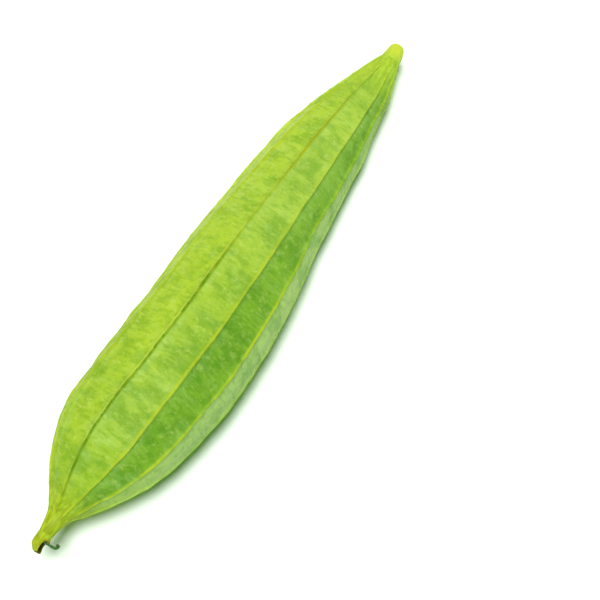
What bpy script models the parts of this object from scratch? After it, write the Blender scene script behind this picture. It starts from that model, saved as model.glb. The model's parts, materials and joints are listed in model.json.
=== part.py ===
"""Ridge gourd (angled luffa), as picked and lying on its side.

One club-shaped fruit with ten ridges that run from end to end, the stub of the stem it was cut from,
and, on the beak at the other end, what the withered flower left: the torn calyx and the dried style.

Run with: blender --background --python part.py
The frame has +X from the flower end to the stem end and +Z up. The origin is under the middle of the
object's box, on the surface that it lies on. Lengths are in millimetres until the points are made.
"""

import math

import bmesh
import bpy
from mathutils import Vector

MM = 0.001

# Places along the gourd, measured from the shoulder where the beak widens into the belly
BEAK_END = -11.0
SHOULDER = 0.0
FRUIT_END = 277.0
STEM_END = 286.5
CALYX_LENGTH = 8.2
JOINT_GAP = 0.3

# Radius over the ridges, as (place, radius) pairs
RADII = (
    (BEAK_END, 3.3),
    (-7.5, 3.7),
    (-3.0, 4.6),
    (SHOULDER, 5.6),
    (5.0, 9.2),
    (12.0, 14.0),
    (24.0, 21.0),
    (43.0, 27.8),
    (80.0, 30.5),
    (124.0, 29.3),
    (148.0, 27.8),
    (170.0, 24.9),
    (215.0, 20.2),
    (244.0, 14.3),
    (263.0, 9.4),
    (FRUIT_END, 5.1),
)

# Centre line: how far it bows sideways, and its height above the surface
SIDE_BOW = (
    (-20.0, 0.5),
    (SHOULDER, 0.6),
    (24.0, 0.2),
    (43.0, -0.8),
    (80.0, -3.2),
    (110.0, -3.6),
    (145.0, -1.3),
    (180.0, 1.2),
    (225.0, 1.9),
    (262.0, 0.4),
    (FRUIT_END, 0.2),
    (STEM_END, 0.9),
)
HEIGHTS = (
    (-20.0, 29.0),
    (43.0, 29.0),
    (80.0, 28.8),
    (124.0, 27.7),
    (148.0, 26.2),
    (170.0, 24.2),
    (215.0, 21.5),
    (STEM_END, 18.0),
)

# Ridges: degrees from straight up towards -Y at the belly, then how far each wanders round by the
# shoulder and by the stem
RIDGES = (
    (25.0, 5.5, 11.5),
    (60.0, 2.5, 5.0),
    (98.5, 0.0, 4.5),
    (130.5, 0.0, 3.5),
    (162.0, 0.0, 2.0),
    (198.0, 0.0, 2.0),
    (236.0, 0.0, 4.5),
    (274.0, -3.0, 7.0),
    (311.0, -7.5, 9.0),
    (349.5, -2.0, 7.5),
)
SHOULDER_WANDER = (12.0, 75.0)
STEM_WANDER = (95.0, 225.0)
RIDGE_HEIGHT = 1.4
RIDGE_TOP_HALF_WIDTH = 0.4
RIDGE_FOOT_HALF_WIDTH = 1.1
PANEL_PUFF = 0.036
PANEL_SHARES = (0.27, 0.5, 0.73)
FULL_RIDGE_RADIUS = 16.0
RESTING_FLAT_DEPTH = 0.4

RINGS = 44

# Stem stub
STEM_RADII = ((0.0, 4.9), (0.27, 4.6), (0.54, 4.35), (0.81, 3.85), (0.95, 3.2), (1.0, 2.3))
STEM_RIBS = 5
STEM_RIB_SHARE = 0.06
STEM_SIDES = 30

# Torn calyx: a thin cup, longer on one side
CALYX_OUTER = 3.3
CALYX_WALL = 0.7
CALYX_DRAW_IN = 0.6
CALYX_FLOOR = 0.9
CALYX_SHORT_SIDE = 0.22
CALYX_LONG_SIDE_ANGLE = 218.0
CALYX_LOBES = 5
CALYX_LOBE_SHARE = 0.09
CALYX_SIDES = 30

# Dried style: its centre line from the base of the calyx, as (out of the cup, sideways to -Y, up)
STYLE_ROUTE = (
    (1.5, 0.2, 0.0),
    (2.4, 1.1, 0.6),
    (2.9, 2.7, 1.0),
    (2.9, 4.5, 0.9),
    (2.5, 6.1, 0.5),
    (1.2, 6.8, 0.3),
    (0.2, 6.0, 0.5),
)
STYLE_RADIUS = 0.55
STIGMA_RADIUS = 1.0
STIGMA_SHARE = 0.2
STYLE_SIDES = 10
STYLE_RINGS = 26

SKIN_GREEN = (0.33, 0.56, 0.08, 1.0)
STEM_GREEN = (0.55, 0.68, 0.07, 1.0)
DRIED_BROWN = (0.20, 0.15, 0.03, 1.0)
STYLE_DARK = (0.05, 0.09, 0.03, 1.0)


def slope_at(pairs, i):
    """The curve's slope at pair i, from the pairs beside it."""
    before, after = max(i - 1, 0), min(i + 1, len(pairs) - 1)
    return (pairs[after][1] - pairs[before][1]) / (pairs[after][0] - pairs[before][0])


def smooth(pairs, place):
    """The value at this place on the smooth curve through the pairs, held level past both ends."""
    if place <= pairs[0][0]:
        return pairs[0][1]
    if place >= pairs[-1][0]:
        return pairs[-1][1]
    i = max(k for k in range(len(pairs) - 1) if pairs[k][0] <= place)
    (x0, v0), (x1, v1) = pairs[i], pairs[i + 1]
    step = x1 - x0
    t = (place - x0) / step
    m0 = slope_at(pairs, i) * step
    m1 = slope_at(pairs, i + 1) * step
    return (
        v0 * (2 * t**3 - 3 * t**2 + 1)
        + m0 * (t**3 - 2 * t**2 + t)
        + v1 * (3 * t**2 - 2 * t**3)
        + m1 * (t**3 - t**2)
    )


def ramp(value, start, full):
    """0 before start, 1 after full, with a soft change between them."""
    t = min(max((value - start) / (full - start), 0.0), 1.0)
    return t * t * (3 - 2 * t)


def centre(place):
    return Vector((place, smooth(SIDE_BOW, place), smooth(HEIGHTS, place)))


def axes_at(place):
    """(along, out to -Y, up) unit directions of the ring at this place."""
    along = (centre(place + 0.5) - centre(place - 0.5)).normalized()
    side = along.cross(Vector((0.0, 0.0, 1.0))).normalized()
    return along, side, side.cross(along)


def on_ring(place, degrees, radius, forward=0.0):
    """The point on the ring at this place, at an angle from straight up towards -Y."""
    along, side, up = axes_at(place)
    angle = math.radians(degrees)
    return centre(place) + (side * math.sin(angle) + up * math.cos(angle)) * radius + along * forward


def ridge_angle(k, place):
    """Where ridge k runs on the ring at this place, in degrees."""
    angle, by_shoulder, by_stem = RIDGES[k % len(RIDGES)]
    angle += by_shoulder * (1 - ramp(place, *SHOULDER_WANDER)) + by_stem * ramp(place, *STEM_WANDER)
    return angle + 360 * (k // len(RIDGES))


def ridged_ring(place):
    """The points of one cross-section of the fruit: a flat-topped ridge, then a soft panel, ten times."""
    middle = centre(place)
    _, side, up = axes_at(place)

    def on_section(degrees, radius):
        angle = math.radians(degrees)
        return middle + (side * math.sin(angle) + up * math.cos(angle)) * radius

    crest = smooth(RADII, place)
    fade = ramp(crest, 0.0, FULL_RIDGE_RADIUS)
    foot = crest - RIDGE_HEIGHT * fade
    top_half = math.degrees(RIDGE_TOP_HALF_WIDTH * fade / crest)
    foot_half = math.degrees(RIDGE_FOOT_HALF_WIDTH * fade / crest)
    points = []
    for k in range(len(RIDGES)):
        start = ridge_angle(k, place)
        span = ridge_angle(k + 1, place) - start
        points.append(on_section(start - top_half, crest))
        points.append(on_section(start + top_half, crest))
        points.append(on_section(start + foot_half, foot))
        for share in PANEL_SHARES:
            chord = foot * math.cos(math.radians(span / 2)) / math.cos(math.radians((share - 0.5) * span))
            puff = foot * PANEL_PUFF * math.sin(math.pi * share)
            points.append(on_section(start + share * span, chord + puff))
        points.append(on_section(start + span - foot_half, foot))
    return points


def resting_plane():
    """Height of the plane that shaves the lowest ridge tops flat."""
    lowest = min(p.z for i in range(RINGS) for p in ridged_ring(place_of_ring(i)))
    return lowest + RESTING_FLAT_DEPTH


def place_of_ring(i):
    """Rings stand closer together towards both ends, where the outline curves most."""
    share = (1 - math.cos(math.pi * i / (RINGS - 1))) / 2
    return BEAK_END + (FRUIT_END - BEAK_END) * share


def loft(name, rings, material):
    """A closed solid through rings of points that turn the same way, with a flat cap on both ends."""
    shape = bmesh.new()
    rows = [[shape.verts.new(p * MM) for p in ring] for ring in rings]
    count = len(rings[0])
    for near, far in zip(rows, rows[1:]):
        for i in range(count):
            j = (i + 1) % count
            shape.faces.new((near[i], near[j], far[j], far[i]))
    shape.faces.new(rows[0])
    shape.faces.new(rows[-1])
    bmesh.ops.recalc_face_normals(shape, faces=shape.faces)
    bmesh.ops.triangulate(shape, faces=[f for f in shape.faces if len(f.verts) > 4])
    mesh = bpy.data.meshes.new(name)
    shape.to_mesh(mesh)
    shape.free()
    mesh.materials.append(material)
    mesh.shade_smooth()
    mesh.set_sharp_from_angle(angle=math.radians(40))
    part = bpy.data.objects.new(name, mesh)
    bpy.context.scene.collection.objects.link(part)
    return part


def make_material(name, colour, roughness):
    material = bpy.data.materials.new(name)
    material.use_nodes = True
    shader = material.node_tree.nodes["Principled BSDF"]
    shader.inputs["Base Color"].default_value = colour
    shader.inputs["Roughness"].default_value = roughness
    shader.inputs["Metallic"].default_value = 0.0
    return material


def make_fruit(floor):
    """The ridged fruit with its beak. The two ridges under the belly are shaved flat where it rests."""
    rings = [ridged_ring(place_of_ring(i)) for i in range(RINGS)]
    for ring in rings:
        for point in ring:
            point.z = max(point.z, floor)
    return loft("gourd_fruit", rings, make_material("gourd_skin", SKIN_GREEN, 0.5))


def make_stem():
    """The cut stub: it swells where it joins the fruit, has five soft ribs, and ends in a rounded cut."""
    start = FRUIT_END + JOINT_GAP
    rings = []
    for share, radius in STEM_RADII:
        place = start + (STEM_END - start) * share
        turns = [360 * i / STEM_SIDES for i in range(STEM_SIDES)]
        ribs = [1 + STEM_RIB_SHARE * math.cos(math.radians(STEM_RIBS * a)) for a in turns]
        rings.append([on_ring(place, a, radius * rib) for a, rib in zip(turns, ribs)])
    return loft("cut_stem", rings, make_material("stem_skin", STEM_GREEN, 0.5))


def calyx_rim(degrees):
    """How far the torn rim stands out at this angle: long on one side, with five worn lobes."""
    around = math.radians(degrees - CALYX_LONG_SIDE_ANGLE)
    slant = CALYX_SHORT_SIDE + (1 - CALYX_SHORT_SIDE) * (1 + math.cos(around)) / 2
    lobes = CALYX_LOBE_SHARE * (1 - math.cos(CALYX_LOBES * around)) / 2
    return CALYX_LENGTH * (slant - lobes)


def make_calyx():
    """A thin cup on the end of the beak: outer wall, torn rim, inner wall and floor, in one skin."""
    base = BEAK_END - JOINT_GAP
    turns = [360 * i / CALYX_SIDES for i in range(CALYX_SIDES)]
    inner = CALYX_OUTER - CALYX_WALL

    def wall(share, radius):
        drawn = radius - CALYX_DRAW_IN * share**2
        return [on_ring(base, a, drawn, -CALYX_FLOOR - (calyx_rim(a) - CALYX_FLOOR) * share) for a in turns]

    rings = [[on_ring(base, a, CALYX_OUTER) for a in turns]]
    rings += [wall(share, CALYX_OUTER) for share in (0.0, 0.5, 0.9)]
    rings += [wall(1.0, CALYX_OUTER - CALYX_WALL * 0.25), wall(1.0, CALYX_OUTER - CALYX_WALL * 0.75)]
    rings += [wall(share, inner) for share in (0.9, 0.5, 0.0)]
    rings.append([on_ring(base, a, inner * 0.5, -CALYX_FLOOR) for a in turns])
    return loft("withered_calyx", rings, make_material("dried_calyx", DRIED_BROWN, 0.75))


def style_point(t):
    """A point on the style's centre line, for t from 0 at the root to 1 at the tip."""
    spot = t * (len(STYLE_ROUTE) - 1)
    out, across, lift = (smooth([(i, p[k]) for i, p in enumerate(STYLE_ROUTE)], spot) for k in range(3))
    base = BEAK_END - JOINT_GAP
    along, side, up = axes_at(base)
    return centre(base) - along * out + side * across + up * lift


def make_style():
    """A thin dried thread that curls over the short side of the calyx and ends in a small knob."""
    rings = []
    ahead = None
    for i in range(STYLE_RINGS):
        t = i / (STYLE_RINGS - 1)
        along = (style_point(min(t + 0.02, 1.0)) - style_point(max(t - 0.02, 0.0))).normalized()
        ahead = along.orthogonal() if ahead is None else (ahead - along * ahead.dot(along))
        ahead.normalize()
        beside = along.cross(ahead)
        knob = max(0.0, 1 - ((t - (1 - STIGMA_SHARE / 2)) / (STIGMA_SHARE / 2)) ** 2)
        radius = STYLE_RADIUS + (STIGMA_RADIUS - STYLE_RADIUS) * math.sqrt(knob)
        turns = [2 * math.pi * k / STYLE_SIDES for k in range(STYLE_SIDES)]
        rings.append([style_point(t) + (ahead * math.cos(a) + beside * math.sin(a)) * radius for a in turns])
    return loft("dried_style", rings, make_material("dried_style", STYLE_DARK, 0.8))


def centre_on_surface(parts):
    """Moves every point so that the origin is under the middle of the box, on the surface."""
    points = [v.co for part in parts for v in part.data.vertices]
    low = Vector([min(p[k] for p in points) for k in range(3)])
    high = Vector([max(p[k] for p in points) for k in range(3)])
    shift = Vector((-(low.x + high.x) / 2, -(low.y + high.y) / 2, -low.z))
    for part in parts:
        for v in part.data.vertices:
            v.co += shift
    print("box in mm:", [round(s / MM, 2) for s in high - low], "shift:", [round(s / MM, 2) for s in shift])


def main():
    for old in list(bpy.data.objects):
        bpy.data.objects.remove(old)
    parts = [make_fruit(resting_plane()), make_stem(), make_calyx(), make_style()]
    centre_on_surface(parts)


main()
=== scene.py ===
# %% [markdown]
# # A ridge gourd, as it lies when it has just been picked
#
# A ridge gourd is a club-shaped fruit with ten thin ridges that run from end to end. One end is a
# narrow beak that still wears what the flower left, a torn brown cup and a curled thread. The other
# end is the stub of the stem it was cut from. This lesson models the four pieces on a fixed frame:
# the measured CAD model says where each one goes, and everything here is in metres.

import json
import math

import bmesh
import bpy
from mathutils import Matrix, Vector

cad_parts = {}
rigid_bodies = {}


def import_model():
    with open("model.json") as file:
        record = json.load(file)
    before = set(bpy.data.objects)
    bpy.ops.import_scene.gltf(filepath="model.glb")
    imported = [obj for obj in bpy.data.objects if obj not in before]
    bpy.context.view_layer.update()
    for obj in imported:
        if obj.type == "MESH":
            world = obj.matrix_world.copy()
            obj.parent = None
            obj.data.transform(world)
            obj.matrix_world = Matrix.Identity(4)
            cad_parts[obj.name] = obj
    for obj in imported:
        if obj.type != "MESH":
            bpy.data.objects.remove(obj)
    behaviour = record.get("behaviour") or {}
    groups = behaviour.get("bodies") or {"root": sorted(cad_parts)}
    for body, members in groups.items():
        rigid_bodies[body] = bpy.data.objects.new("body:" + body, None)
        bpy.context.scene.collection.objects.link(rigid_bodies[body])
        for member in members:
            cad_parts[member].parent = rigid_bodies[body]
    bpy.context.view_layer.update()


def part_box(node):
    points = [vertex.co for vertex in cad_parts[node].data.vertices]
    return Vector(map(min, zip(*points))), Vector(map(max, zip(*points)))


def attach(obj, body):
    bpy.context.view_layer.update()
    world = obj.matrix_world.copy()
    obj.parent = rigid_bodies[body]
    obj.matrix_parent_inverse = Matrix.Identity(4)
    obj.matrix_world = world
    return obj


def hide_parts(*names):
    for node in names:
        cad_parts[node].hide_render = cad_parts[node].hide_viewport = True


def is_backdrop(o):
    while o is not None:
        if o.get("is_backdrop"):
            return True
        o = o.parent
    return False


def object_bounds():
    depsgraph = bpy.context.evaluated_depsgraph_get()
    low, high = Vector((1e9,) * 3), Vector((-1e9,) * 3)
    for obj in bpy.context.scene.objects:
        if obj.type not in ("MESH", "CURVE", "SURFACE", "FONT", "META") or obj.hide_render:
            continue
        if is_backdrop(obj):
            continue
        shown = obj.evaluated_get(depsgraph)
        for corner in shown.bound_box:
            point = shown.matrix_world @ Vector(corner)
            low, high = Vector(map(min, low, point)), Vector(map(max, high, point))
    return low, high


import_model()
MM = 0.001

# %% [markdown]
# The camera comes first, so that every later step can be judged from the view that matters. It
# looks down steeply, as at a table, through a long lens that keeps the far end from shrinking much.

# %% Camera
VIEW_AZIMUTH = math.radians(-57.03)
VIEW_ELEVATION = math.radians(70.0)
VIEW_DISTANCE = 0.662
VIEW_AIM = Vector((0.00895, -0.02969, 0.02557))
LENS = 85

towards_camera = Vector((
    math.sin(VIEW_AZIMUTH) * math.cos(VIEW_ELEVATION),
    -math.cos(VIEW_AZIMUTH) * math.cos(VIEW_ELEVATION),
    math.sin(VIEW_ELEVATION),
))
bpy.ops.object.camera_add(location=VIEW_AIM + towards_camera * VIEW_DISTANCE)
camera = bpy.context.object
camera.name = "table_camera"
camera.rotation_mode = "QUATERNION"
camera.rotation_quaternion = (-towards_camera).to_track_quat("-Z", "Y")
camera.data.lens = LENS
bpy.context.scene.camera = camera
print("camera at", [round(c, 3) for c in camera.location])

# %% [markdown]
# A small helper adds a node, sets its inputs and links the sockets that it is given. The others
# stand for nodes that come again and again, so each material reads as a recipe. The room's light
# uses them first.

# %% Node helpers
WHITE = (1, 1, 1, 1)


def add(tree, kind, inputs=None, **settings):
    """Adds a node of this kind. inputs gives each named or numbered input a value or a socket."""
    made = tree.nodes.new("ShaderNode" + kind)
    for name, value in settings.items():
        setattr(made, name, value)
    for name, value in (inputs or {}).items():
        if isinstance(value, bpy.types.NodeSocket):
            tree.links.new(value, made.inputs[name])
        else:
            made.inputs[name].default_value = value
    return made


def maths(tree, operation, first, second=0.0, third=0.0):
    """One Math node. A multiply-add gives first x second + third."""
    return add(tree, "Math", {0: first, 1: second, 2: third}, operation=operation).outputs[0]


def fade(tree, value, start, full):
    """0 where value is at start, 1 where it is at full, and a soft change between."""
    made = add(tree, "MapRange", {"Value": value, "From Min": start, "From Max": full},
               interpolation_type="SMOOTHSTEP")
    return made.outputs[0]


def blend_colours(tree, factor, one, other, blend="MIX"):
    """The one colour where the factor is 0, and the other where it is 1."""
    made = add(tree, "Mix", {0: factor, 6: one, 7: other}, data_type="RGBA", blend_type=blend)
    return made.outputs[2]


# %% [markdown]
# Fruit on white card is lit by one large soft light, nearly overhead. A sun light does it: its angle
# makes it as soft as a wide lamp, and it lights the card evenly as far as one can see. The shadow is
# dark only where the fruit nearly touches the card. The light is very slightly green, which shows
# only in the shadow's soft edge, since the open card is bright enough to come out white.

# %% Key light
KEY_FROM = Vector((-0.10, -0.035, 1.0)).normalized()
KEY_SPREAD = math.radians(18.0)
KEY_STRENGTH = 3.75
KEY_COLOUR = (0.955, 1.0, 0.975)

bpy.ops.object.light_add(type="SUN", location=KEY_FROM)
key = bpy.context.object
key.name = "soft_key"
key.data.energy = KEY_STRENGTH
key.data.color = KEY_COLOUR
key.data.angle = KEY_SPREAD
key.rotation_mode = "QUATERNION"
key.rotation_quaternion = KEY_FROM.to_track_quat("Z", "Y")
print("key light", KEY_STRENGTH, "over", round(math.degrees(KEY_SPREAD)), "degrees")

# %% [markdown]
# What comes in from the room is dimmer. On the near side it has come off other greens, so it tints
# the shadow, and on the far side it is pale and brightens that flank. The camera itself sees plain
# white past the card's edge. The colours are shown as they are (the Standard view), because the
# film-like one would grey the fresh green. The card lies a hair below the fruit.

# %% Room light and card
NEAR_LIGHT = (0.0, 0.43, 0.03, 1.0)
FAR_LIGHT = (0.68, 0.70, 0.32, 1.0)
HIGH_LIGHT = (0.07, 0.15, 0.06, 1.0)
LIGHT_BLEND = 0.8
CARD_SIZE = 20.0
CARD_TOP = -0.0002
CARD_COLOUR = (0.9, 0.9, 0.9, 1.0)
CARD_ROUGHNESS = 0.9

room = bpy.data.worlds.new("bright_room")
room.use_nodes = True
tree = room.node_tree
_, far, high = add(tree, "SeparateXYZ", {0: add(tree, "TexCoord").outputs["Generated"]}).outputs
low_light = blend_colours(tree, fade(tree, far, 0.0, LIGHT_BLEND), NEAR_LIGHT, FAR_LIGHT)
sky = blend_colours(tree, fade(tree, high, 0.0, LIGHT_BLEND), low_light, HIGH_LIGHT)
backdrop = blend_colours(tree, add(tree, "LightPath").outputs["Is Camera Ray"], sky, WHITE)
tree.links.new(backdrop, tree.nodes["Background"].inputs[0])
bpy.context.scene.world = room
bpy.context.scene.view_settings.view_transform = "Standard"

bpy.ops.mesh.primitive_plane_add(size=CARD_SIZE, location=(0, 0, CARD_TOP))
floor = bpy.context.object
floor.name = "white_card"
card = bpy.data.materials.new("white_card")
card.use_nodes = True
card_shader = card.node_tree.nodes["Principled BSDF"]
card_shader.inputs["Base Color"].default_value = CARD_COLOUR
card_shader.inputs["Roughness"].default_value = CARD_ROUGHNESS
floor.data.materials.append(card)
floor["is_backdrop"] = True
print("card", CARD_SIZE, "m wide")

# %% [markdown]
# ## Helpers for working as by hand
#
# With no window open, edit mode still works: an operator acts on what is selected, and what is
# selected is chosen here by a test on each point, edge or face. Everything is deselected first,
# because the frame's own parts come in selected.

# %% Selecting and shaping


def select_only(obj):
    bpy.ops.object.select_all(action="DESELECT")
    obj.select_set(True)
    bpy.context.view_layer.objects.active = obj


def begin(obj):
    """Goes into edit mode on this object alone."""
    select_only(obj)
    bpy.ops.object.mode_set(mode="EDIT")


def end():
    bpy.ops.object.mode_set(mode="OBJECT")


def pick(obj, kind, wanted):
    """In edit mode, selects what passes the test (VERT, EDGE or FACE), and says how many did."""
    bpy.ops.mesh.select_mode(type=kind)
    bpy.ops.mesh.select_all(action="DESELECT")
    shape = bmesh.from_edit_mesh(obj.data)
    group = {"VERT": shape.verts, "EDGE": shape.edges, "FACE": shape.faces}[kind]
    chosen = [element for element in group if wanted(element)]
    for element in chosen:
        element.select_set(True)
    shape.select_flush_mode()
    bmesh.update_edit_mesh(obj.data)
    return len(chosen)


def turn(degrees, about):
    """Turns what is selected about X. Run with no window, the operator turns the other way."""
    bpy.ops.transform.rotate(value=-math.radians(degrees), orient_axis="X", center_override=about)


def scale_ring(factor, about):
    bpy.ops.transform.resize(value=(1.0, factor, factor), center_override=about)


def apply_modifier(obj, kind, **settings):
    """Adds a modifier with these settings and applies it to the mesh."""
    select_only(obj)
    modifier = obj.modifiers.new(kind.lower(), kind)
    for name, value in settings.items():
        setattr(modifier, name, value)
    bpy.ops.object.modifier_apply(modifier=modifier.name)


def round_off(obj, levels):
    """Subdivision Surface, applied."""
    apply_modifier(obj, "SUBSURF", levels=levels, render_levels=levels)


def face_outwards(obj):
    begin(obj)
    bpy.ops.mesh.select_all(action="SELECT")
    bpy.ops.mesh.normals_make_consistent(inside=False)
    end()


def shade_smooth(obj):
    select_only(obj)
    bpy.ops.object.shade_smooth()


def triangles(obj):
    return sum(len(face.vertices) - 2 for face in obj.data.polygons)


# %% [markdown]
# ## The shape of the fruit, as a maker would note it
#
# A gourd grows round a line that bows a little. Three short tables hold all there is to know of it:
# its radius over the ridges, how far the line bows sideways, and how high the line is above the
# table. A place is counted in millimetres from the shoulder, where the beak widens into the belly.
# A smooth curve through the pairs gives every value between them.

# %% Tables of the fruit, in millimetres
BEAK_END, FRUIT_END = -11.0, 277.0

RADIUS = (
    (-11, 3.3), (-7.5, 3.7), (-3, 4.6), (0, 5.6), (5, 9.2), (12, 14.0), (24, 21.0), (43, 27.8),
    (80, 30.5), (124, 29.3), (148, 27.8), (170, 24.9), (215, 20.2), (244, 14.3), (263, 9.4),
    (277, 5.1),
)
SIDE_BOW = (
    (-20, 0.5), (0, 0.6), (24, 0.2), (43, -0.8), (80, -3.2), (110, -3.6), (145, -1.3), (180, 1.2),
    (225, 1.9), (262, 0.4), (277, 0.2), (286.5, 0.9),
)
HEIGHT = (
    (-20, 29.0), (43, 29.0), (80, 28.8), (124, 27.7), (148, 26.2), (170, 24.2), (215, 21.5),
    (286.5, 18.0),
)


def smooth(pairs, place):
    """The value at this place on a smooth curve through the pairs, level past both ends."""
    if place <= pairs[0][0]:
        return pairs[0][1]
    if place >= pairs[-1][0]:
        return pairs[-1][1]
    i = max(k for k in range(len(pairs) - 1) if pairs[k][0] <= place)

    def slope(k):
        before, after = pairs[max(k - 1, 0)], pairs[min(k + 1, len(pairs) - 1)]
        return (after[1] - before[1]) / (after[0] - before[0])

    (x0, v0), (x1, v1) = pairs[i], pairs[i + 1]
    t = (place - x0) / (x1 - x0)
    rise = v0 * (2 * t**3 - 3 * t**2 + 1) + v1 * (3 * t**2 - 2 * t**3)
    return rise + (slope(i) * (t**3 - 2 * t**2 + t) + slope(i + 1) * (t**3 - t**2)) * (x1 - x0)


def ramp(value, start, full):
    """0 before start, 1 after full, with a soft change between them."""
    t = min(max((value - start) / (full - start), 0.0), 1.0)
    return t * t * (3 - 2 * t)


# The frame says where the beak begins. The tables' line lies a little to the far side of its middle
START_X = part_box("gourd_fruit")[0].x - BEAK_END * MM
LINE_Y = 3.07 * MM


def on_line(place):
    """The point of the fruit's centre line at this place, in metres."""
    return Vector((
        START_X + place * MM,
        LINE_Y + smooth(SIDE_BOW, place) * MM,
        smooth(HEIGHT, place) * MM,
    ))


print("beak tip at", [round(c / MM, 1) for c in on_line(BEAK_END)], "mm")

# %% [markdown]
# Ten ridges aren't evenly spread on a real fruit, and they drift round it a little towards both
# ends. Each is noted as an angle from straight up, towards the near side, at the belly, and how far
# it has wandered by the shoulder and by the stem. The first is the one that lies furthest back. Two
# zones say between which places, in millimetres, the wandering happens.

# %% The ten ridges, in degrees
RIDGES = (
    (-86.0, -3.0, 7.0),
    (-49.0, -7.5, 9.0),
    (-10.5, -2.0, 7.5),
    (25.0, 5.5, 11.5),
    (60.0, 2.5, 5.0),
    (98.5, 0.0, 4.5),
    (130.5, 0.0, 3.5),
    (162.0, 0.0, 2.0),
    (198.0, 0.0, 2.0),
    (236.0, 0.0, 4.5),
)
EVEN_STEP = 360 / len(RIDGES)
SHOULDER_ZONE = (12, 75)
STEM_ZONE = (95, 225)


def ridge_angle(k, place):
    angle, by_shoulder, by_stem = RIDGES[k]
    angle += by_shoulder * (1 - ramp(place, *SHOULDER_ZONE))
    return angle + by_stem * ramp(place, *STEM_ZONE)


RINGS = 64
END_CROWDING = 0.6


def ring_place(i):
    """Rings stand closer together towards both ends, where the outline curves most."""
    share = i / (RINGS - 1)
    crowded = (1 - math.cos(math.pi * share)) / 2
    return BEAK_END + (FRUIT_END - BEAK_END) * (share + (crowded - share) * END_CROWDING)


places = [ring_place(i) for i in range(RINGS)]
print(RINGS, "rings, at the beak", round(places[1] - places[0], 2), "mm apart")

# %% [markdown]
# ### Drawing out the body
#
# The body starts as a circle of ten points at the tip of the beak, one for each ridge. Each ring is
# extruded from the last, moved along the line and scaled to its radius, and then each point is
# turned about the line onto its own ridge. That leaves clean rows of edges, one for each ridge,
# which the next step needs.

# %% Body of ten rows
SAME_RING = 0.02 * MM
SAME_SPOT = 0.05 * MM
NO_TURN = 0.01

bpy.ops.object.select_all(action="DESELECT")
bpy.ops.mesh.primitive_circle_add(
    vertices=len(RIDGES),
    radius=smooth(RADIUS, BEAK_END) * MM,
    location=on_line(BEAK_END),
    rotation=(0, math.pi / 2, 0),
)
fruit = bpy.context.object
fruit.name = "ridged_fruit"
bpy.ops.object.transform_apply(location=True, rotation=True, scale=True)


def turn_points_to_ridges(place, before):
    """Turns each of the last ring's ten points by what its ridge wanders since the ring before."""
    middle = on_line(place)
    for k in range(len(RIDGES)):
        was = EVEN_STEP * k - 90 if before is None else ridge_angle(k, before)
        step = ridge_angle(k, place) - was
        if abs(step) < NO_TURN:
            continue
        angle = math.radians(was)
        spot = middle + Vector((0, -math.sin(angle), math.cos(angle))) * smooth(RADIUS, place) * MM
        if pick(fruit, "VERT", lambda v: (v.co - spot).length < SAME_SPOT) != 1:
            raise ValueError(f"ridge {k} isn't where it should be at {place}")
        turn(step, middle)


begin(fruit)
turn_points_to_ridges(BEAK_END, None)
for before, place in zip(places, places[1:]):
    pick(fruit, "VERT", lambda v: abs(v.co.x - on_line(before).x) < SAME_RING)
    onward = on_line(place) - on_line(before)
    bpy.ops.mesh.extrude_region_move(TRANSFORM_OT_translate={"value": onward})
    scale_ring(smooth(RADIUS, place) / smooth(RADIUS, before), on_line(place))
    turn_points_to_ridges(place, before)
end()
print("body:", len(fruit.data.vertices), "points,", len(fruit.data.polygons), "faces")

# %% [markdown]
# ### Ridges and panels
#
# On the real fruit a ridge is a thin keel, about 2 mm wide at its foot, and the skin between two
# ridges is a shallow cushion. The ten long rows of edges are bevelled, which gives each ridge two
# feet and a top. The bevel is a percentage of the panel's width, so it narrows with the fruit at
# both ends. The panels are then subdivided across.

# %% Bevel the rows, then subdivide the panels
RIDGE_FOOT_PERCENT = 4.6
PANEL_SPAN = 0.25

begin(fruit)
pick(fruit, "EDGE", lambda e: abs(e.verts[0].co.x - e.verts[1].co.x) > SAME_SPOT)
bpy.ops.mesh.bevel(offset_type="PERCENT", offset_pct=RIDGE_FOOT_PERCENT, segments=2, affect="EDGES")


def across_panel(edge):
    """True for an edge that spans a panel, in one ring and longer than a ridge is wide."""
    one, other = (v.co for v in edge.verts)
    place = (one.x - START_X) / MM
    longer = (one - other).length > PANEL_SPAN * smooth(RADIUS, place) * MM
    return abs(one.x - other.x) < SAME_RING and longer


pick(fruit, "EDGE", across_panel)
bpy.ops.mesh.subdivide(number_cuts=2, smoothness=0)
end()
print("with ridges and panels:", len(fruit.data.vertices), "points")

# %% [markdown]
# Ring by ring, the tops are now scaled outwards into keels that lean over a little, and the panels
# into cushions. Where the fruit is thin its keels are lower.

# %% Lift the ridge tops and puff the panels
RIDGE_LIFT = 2.0
RIDGE_LEAN = 0.3
FULL_RIDGE_RADIUS = 16.0
AT_RIDGE = 0.02
CUSHION = (0.25, 0.75)
PANEL_PUFF = 0.034


def ridge_position(y, z, place):
    """How far round the fruit a point is, counted in ridges: 3.0 is on the fourth, 3.5 halfway on."""
    middle = on_line(place)
    angle = (math.degrees(math.atan2(middle.y - y, z - middle.z)) + 90) % 360 - 90
    marks = [ridge_angle(k, place) for k in range(len(RIDGES))]
    marks.append(marks[0] + 360)
    if angle < marks[0]:
        angle += 360
    k = max(i for i in range(len(RIDGES)) if marks[i] <= angle + 1e-9)
    return k + (angle - marks[k]) / (marks[k + 1] - marks[k])


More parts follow.
